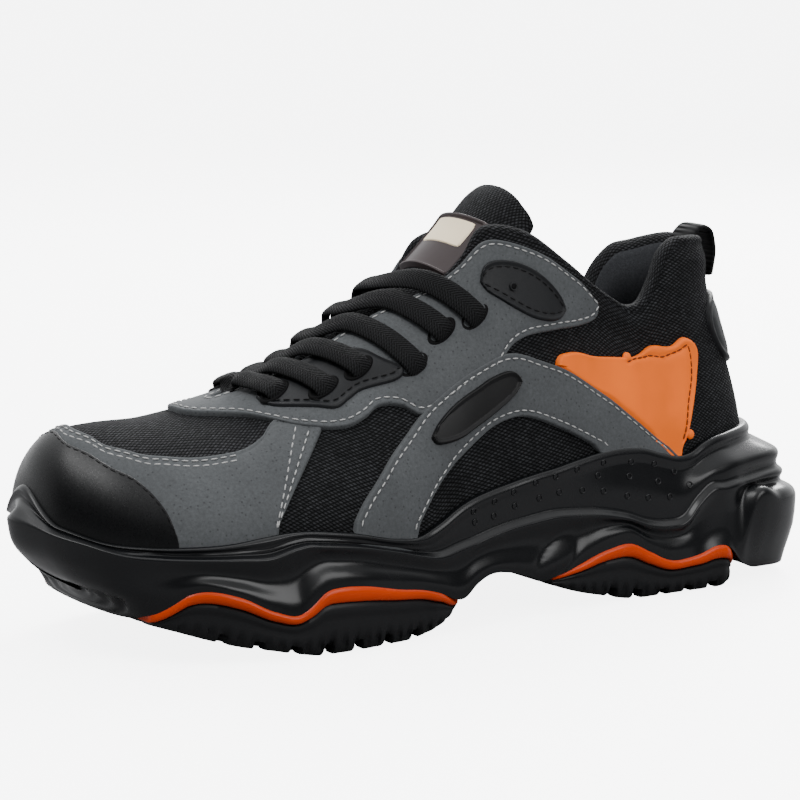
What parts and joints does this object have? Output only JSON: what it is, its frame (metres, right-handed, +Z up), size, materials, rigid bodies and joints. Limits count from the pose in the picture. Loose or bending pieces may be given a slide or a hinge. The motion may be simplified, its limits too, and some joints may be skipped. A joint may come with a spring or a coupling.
{
  "type": "safety shoe",
  "caption": "Low work shoe with a hard toe, knit upper with suede overlays, flat laces and a chunky moulded sole on two lugged rubber treads with a coloured wavy inlay",
  "frame": {"origin": "middle of the shoe's box in plan, on the floor it stands on", "axes": "X along the shoe with the toe at -X, Y across with the outer side of the foot at -Y, Z up"},
  "size_m": [0.3092, 0.1158, 0.1471],
  "materials": {
    "midsole": "moulded foam rubber, satin",
    "outsole": "moulded rubber, matt",
    "inlay": "orange red, glossy",
    "knit": "coarse black knit, padded lining",
    "insole": "fabric over foam",
    "label": "moulded rubber label, bare",
    "smooth_black": "smooth coated microfibre, satin",
    "suede": "grey nubuck microfibre",
    "heel_panel": "moulded orange panel, satin",
    "webbing": "flat woven polyester"
  },
  "bodies": {
    "root": {"midsole": "midsole", "outsole_forefoot": "outsole", "outsole_heel": "outsole", "inlay_forefoot": "inlay", "inlay_heel": "inlay", "upper": "knit", "insole": "insole", "tongue": "knit", "tongue_label": "label", "toe_cap": "smooth_black", "mudguard": "suede", "eyestay": "suede", "side_band_lateral": "suede", "side_band_medial": "suede", "band_pad_lateral": "smooth_black", "band_pad_medial": "smooth_black", "heel_panel_lateral": "heel_panel", "heel_panel_medial": "heel_panel", "eyestay_patch_lateral": "smooth_black", "eyestay_patch_medial": "smooth_black", "ankle_patch_lateral": "smooth_black", "ankle_patch_medial": "smooth_black", "heel_tab": "smooth_black", "pull_loop": "webbing", "lace_row_1": "webbing", "lace_row_2": "webbing", "lace_row_3": "webbing", "lace_row_4": "webbing", "lace_row_5": "webbing", "lace_row_6": "webbing"}
  },
  "joints": []
}
